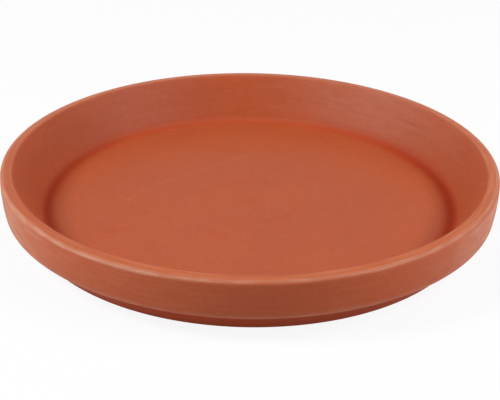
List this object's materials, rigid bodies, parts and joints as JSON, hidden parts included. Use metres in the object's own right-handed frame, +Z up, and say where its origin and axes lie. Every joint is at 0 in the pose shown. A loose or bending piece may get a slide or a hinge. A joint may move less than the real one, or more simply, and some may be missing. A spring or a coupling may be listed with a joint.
{
  "type": "plant saucer",
  "caption": "Round unglazed terracotta plant saucer with a banded rim, leaning inner wall, flat floor and set-back foot.",
  "frame": {"origin": "centre of the circle that the saucer stands on, on the ground plane", "axes": "+Z points up along the saucer's axis of symmetry; +X and +Y lie in the ground plane and are alike"},
  "size_m": [0.3, 0.3, 0.038],
  "materials": {
    "terracotta": "matte"
  },
  "bodies": {
    "root": {"saucer": "terracotta"}
  },
  "joints": []
}
